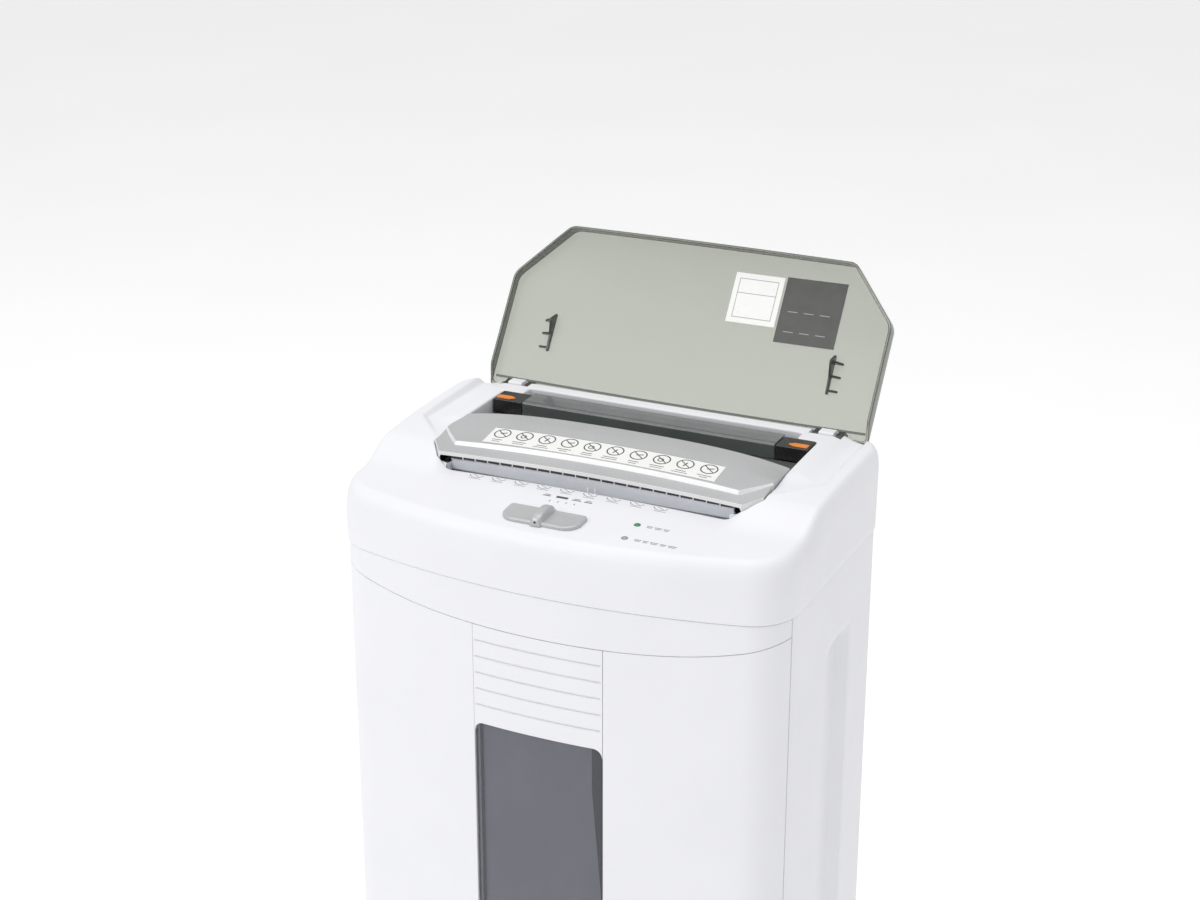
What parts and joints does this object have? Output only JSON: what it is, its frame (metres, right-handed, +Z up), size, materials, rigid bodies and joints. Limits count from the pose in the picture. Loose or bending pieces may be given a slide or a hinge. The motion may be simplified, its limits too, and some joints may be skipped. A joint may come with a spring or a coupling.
{
  "type": "paper shredder",
  "caption": "Tall paper shredder with bowed front, window bin drawer, hand slot and auto-feed hopper under an open smoke lid, on castors.",
  "frame": {"origin": "centre of the bounding box, with the lid open, at floor level", "axes": "+Z up, -Y towards the bin front, +X to the user's right"},
  "size_m": [0.348, 0.3204, 0.6711],
  "materials": {
    "casing_white": "fine satin, moulded",
    "bin_grey": "matte, moulded",
    "window_smoke": "smoke tinted, clear",
    "lid_smoke": "smoke tinted, clear",
    "cover_smoke": "dark smoke tinted",
    "silver_plastic": "fine silver, satin",
    "label_white": "printed film",
    "label_dark": "printed film",
    "guide_grey": "satin",
    "guide_dark": "satin",
    "black_plastic": "fine texture",
    "orange_mark": "satin",
    "green_lens": "clear lens",
    "grey_lens": "clear lens",
    "board_green": "solder mask",
    "steel": "machined",
    "gear_nylon": "nylon",
    "bush_bronze": "sintered",
    "motor_paint": "zinc plated",
    "roller_rubber": "ground rubber",
    "wheel_grey": "hard tread"
  },
  "bodies": {
    "root": {"cabinet_shell": "casing_white", "base_plate": "casing_white", "head_base": "casing_white", "head_casing": "casing_white", "hinge_brackets": "casing_white", "shred_chute": "casing_white", "inner_cover": "cover_smoke", "silver_plate": "silver_plastic", "symbol_label": "label_white", "slot_front_guide": "guide_grey", "slot_rear_guide": "guide_grey", "stack_guide": "guide_dark", "end_blocks": "black_plastic", "mode_switch": "black_plastic", "bin_sensor": "black_plastic", "power_inlet": "black_plastic", "feed_arrows": "orange_mark", "ready_light": "green_lens", "alert_light": "grey_lens", "control_board": "board_green", "bin_runners": "steel", "side_frame_left": "steel", "side_frame_right": "steel", "tie_rods": "steel", "stripper_front": "steel", "stripper_rear": "steel", "frame_screws": "steel", "shaft_bushes": "bush_bronze", "motor": "motor_paint", "feed_belt": "roller_rubber"},
    "bin": {"drawer_panel": "casing_white", "drawer_band": "casing_white", "column_panel": "casing_white", "window_pane": "window_smoke", "bin_tub": "bin_grey", "bin_magnet": "steel"},
    "lid": {"lid": "lid_smoke", "lid_pins": "steel", "lid_guides": "lid_smoke", "lid_labels": "label_dark"},
    "slider": {"mode_slider": "silver_plastic"},
    "rear_cutter_shaft": {"cutter_rear": "steel", "sync_gear_rear": "steel", "drive_gear": "gear_nylon", "belt_pulley": "steel"},
    "front_cutter_shaft": {"cutter_front": "steel", "sync_gear_front": "steel"},
    "idler": {"idler_gear": "gear_nylon"},
    "motor_shaft": {"motor_pinion": "steel"},
    "pickup": {"pickup_shaft": "steel", "pickup_rollers": "roller_rubber"},
    "castor_front_left": {"castor_fork_front_left": "black_plastic"},
    "wheel_front_left": {"castor_wheel_front_left": "wheel_grey"},
    "castor_front_right": {"castor_fork_front_right": "black_plastic"},
    "wheel_front_right": {"castor_wheel_front_right": "wheel_grey"},
    "castor_rear_left": {"castor_fork_rear_left": "black_plastic"},
    "wheel_rear_left": {"castor_wheel_rear_left": "wheel_grey"},
    "castor_rear_right": {"castor_fork_rear_right": "black_plastic"},
    "wheel_rear_right": {"castor_wheel_rear_right": "wheel_grey"}
  },
  "joints": [
    {"name": "lid_hinge", "type": "hinge", "parent": "root", "child": "lid", "pos_m": [0, 0.06826, 0.5585], "axis": [1, 0, 0], "range_deg": [0, 124]},
    {"name": "bin_slide", "type": "slide", "parent": "root", "child": "bin", "axis": [0, -1, 0], "range_m": [0, 0.2]},
    {"name": "mode_slide", "type": "slide", "parent": "root", "child": "slider", "axis": [1, 0, 0], "range_m": [-0.0062, 0.0124]},
    {"name": "rear_cutter_spin", "type": "hinge", "parent": "root", "child": "rear_cutter_shaft", "pos_m": [0, -0.02144, 0.492], "axis": [1, 0, 0], "continuous": true},
    {"name": "front_cutter_spin", "type": "hinge", "parent": "root", "child": "front_cutter_shaft", "pos_m": [0, -0.06004, 0.492], "axis": [1, 0, 0], "continuous": true},
    {"name": "idler_spin", "type": "hinge", "parent": "root", "child": "idler", "pos_m": [0, 0.0169, 0.47805], "axis": [1, 0, 0], "continuous": true},
    {"name": "motor_spin", "type": "hinge", "parent": "root", "child": "motor_shaft", "pos_m": [0, 0.03333, 0.44714], "axis": [1, 0, 0], "continuous": true},
    {"name": "pickup_spin", "type": "hinge", "parent": "root", "child": "pickup", "pos_m": [0, 0.03226, 0.535], "axis": [1, 0, 0], "continuous": true},
    {"name": "castor_swivel_front_left", "type": "hinge", "parent": "root", "child": "castor_front_left", "pos_m": [-0.135, -0.10874, 0.05], "axis": [0, 0, 1], "continuous": true},
    {"name": "wheel_spin_front_left", "type": "hinge", "parent": "castor_front_left", "child": "wheel_front_left", "pos_m": [-0.135, -0.09874, 0.019], "axis": [1, 0, 0], "continuous": true},
    {"name": "castor_swivel_front_right", "type": "hinge", "parent": "root", "child": "castor_front_right", "pos_m": [0.135, -0.10874, 0.05], "axis": [0, 0, 1], "continuous": true},
    {"name": "wheel_spin_front_right", "type": "hinge", "parent": "castor_front_right", "child": "wheel_front_right", "pos_m": [0.135, -0.09874, 0.019], "axis": [1, 0, 0], "continuous": true},
    {"name": "castor_swivel_rear_left", "type": "hinge", "parent": "root", "child": "castor_rear_left", "pos_m": [-0.135, 0.04126, 0.05], "axis": [0, 0, 1], "continuous": true},
    {"name": "wheel_spin_rear_left", "type": "hinge", "parent": "castor_rear_left", "child": "wheel_rear_left", "pos_m": [-0.135, 0.05126, 0.019], "axis": [1, 0, 0], "continuous": true},
    {"name": "castor_swivel_rear_right", "type": "hinge", "parent": "root", "child": "castor_rear_right", "pos_m": [0.135, 0.04126, 0.05], "axis": [0, 0, 1], "continuous": true},
    {"name": "wheel_spin_rear_right", "type": "hinge", "parent": "castor_rear_right", "child": "wheel_rear_right", "pos_m": [0.135, 0.05126, 0.019], "axis": [1, 0, 0], "continuous": true}
  ],
  "couplings": [
    {"joint": "front_cutter_spin", "follows": "rear_cutter_spin", "ratio": -1},
    {"joint": "idler_spin", "follows": "rear_cutter_spin", "ratio": -3},
    {"joint": "motor_spin", "follows": "rear_cutter_spin", "ratio": 12},
    {"joint": "pickup_spin", "follows": "rear_cutter_spin", "ratio": 1}
  ]
}
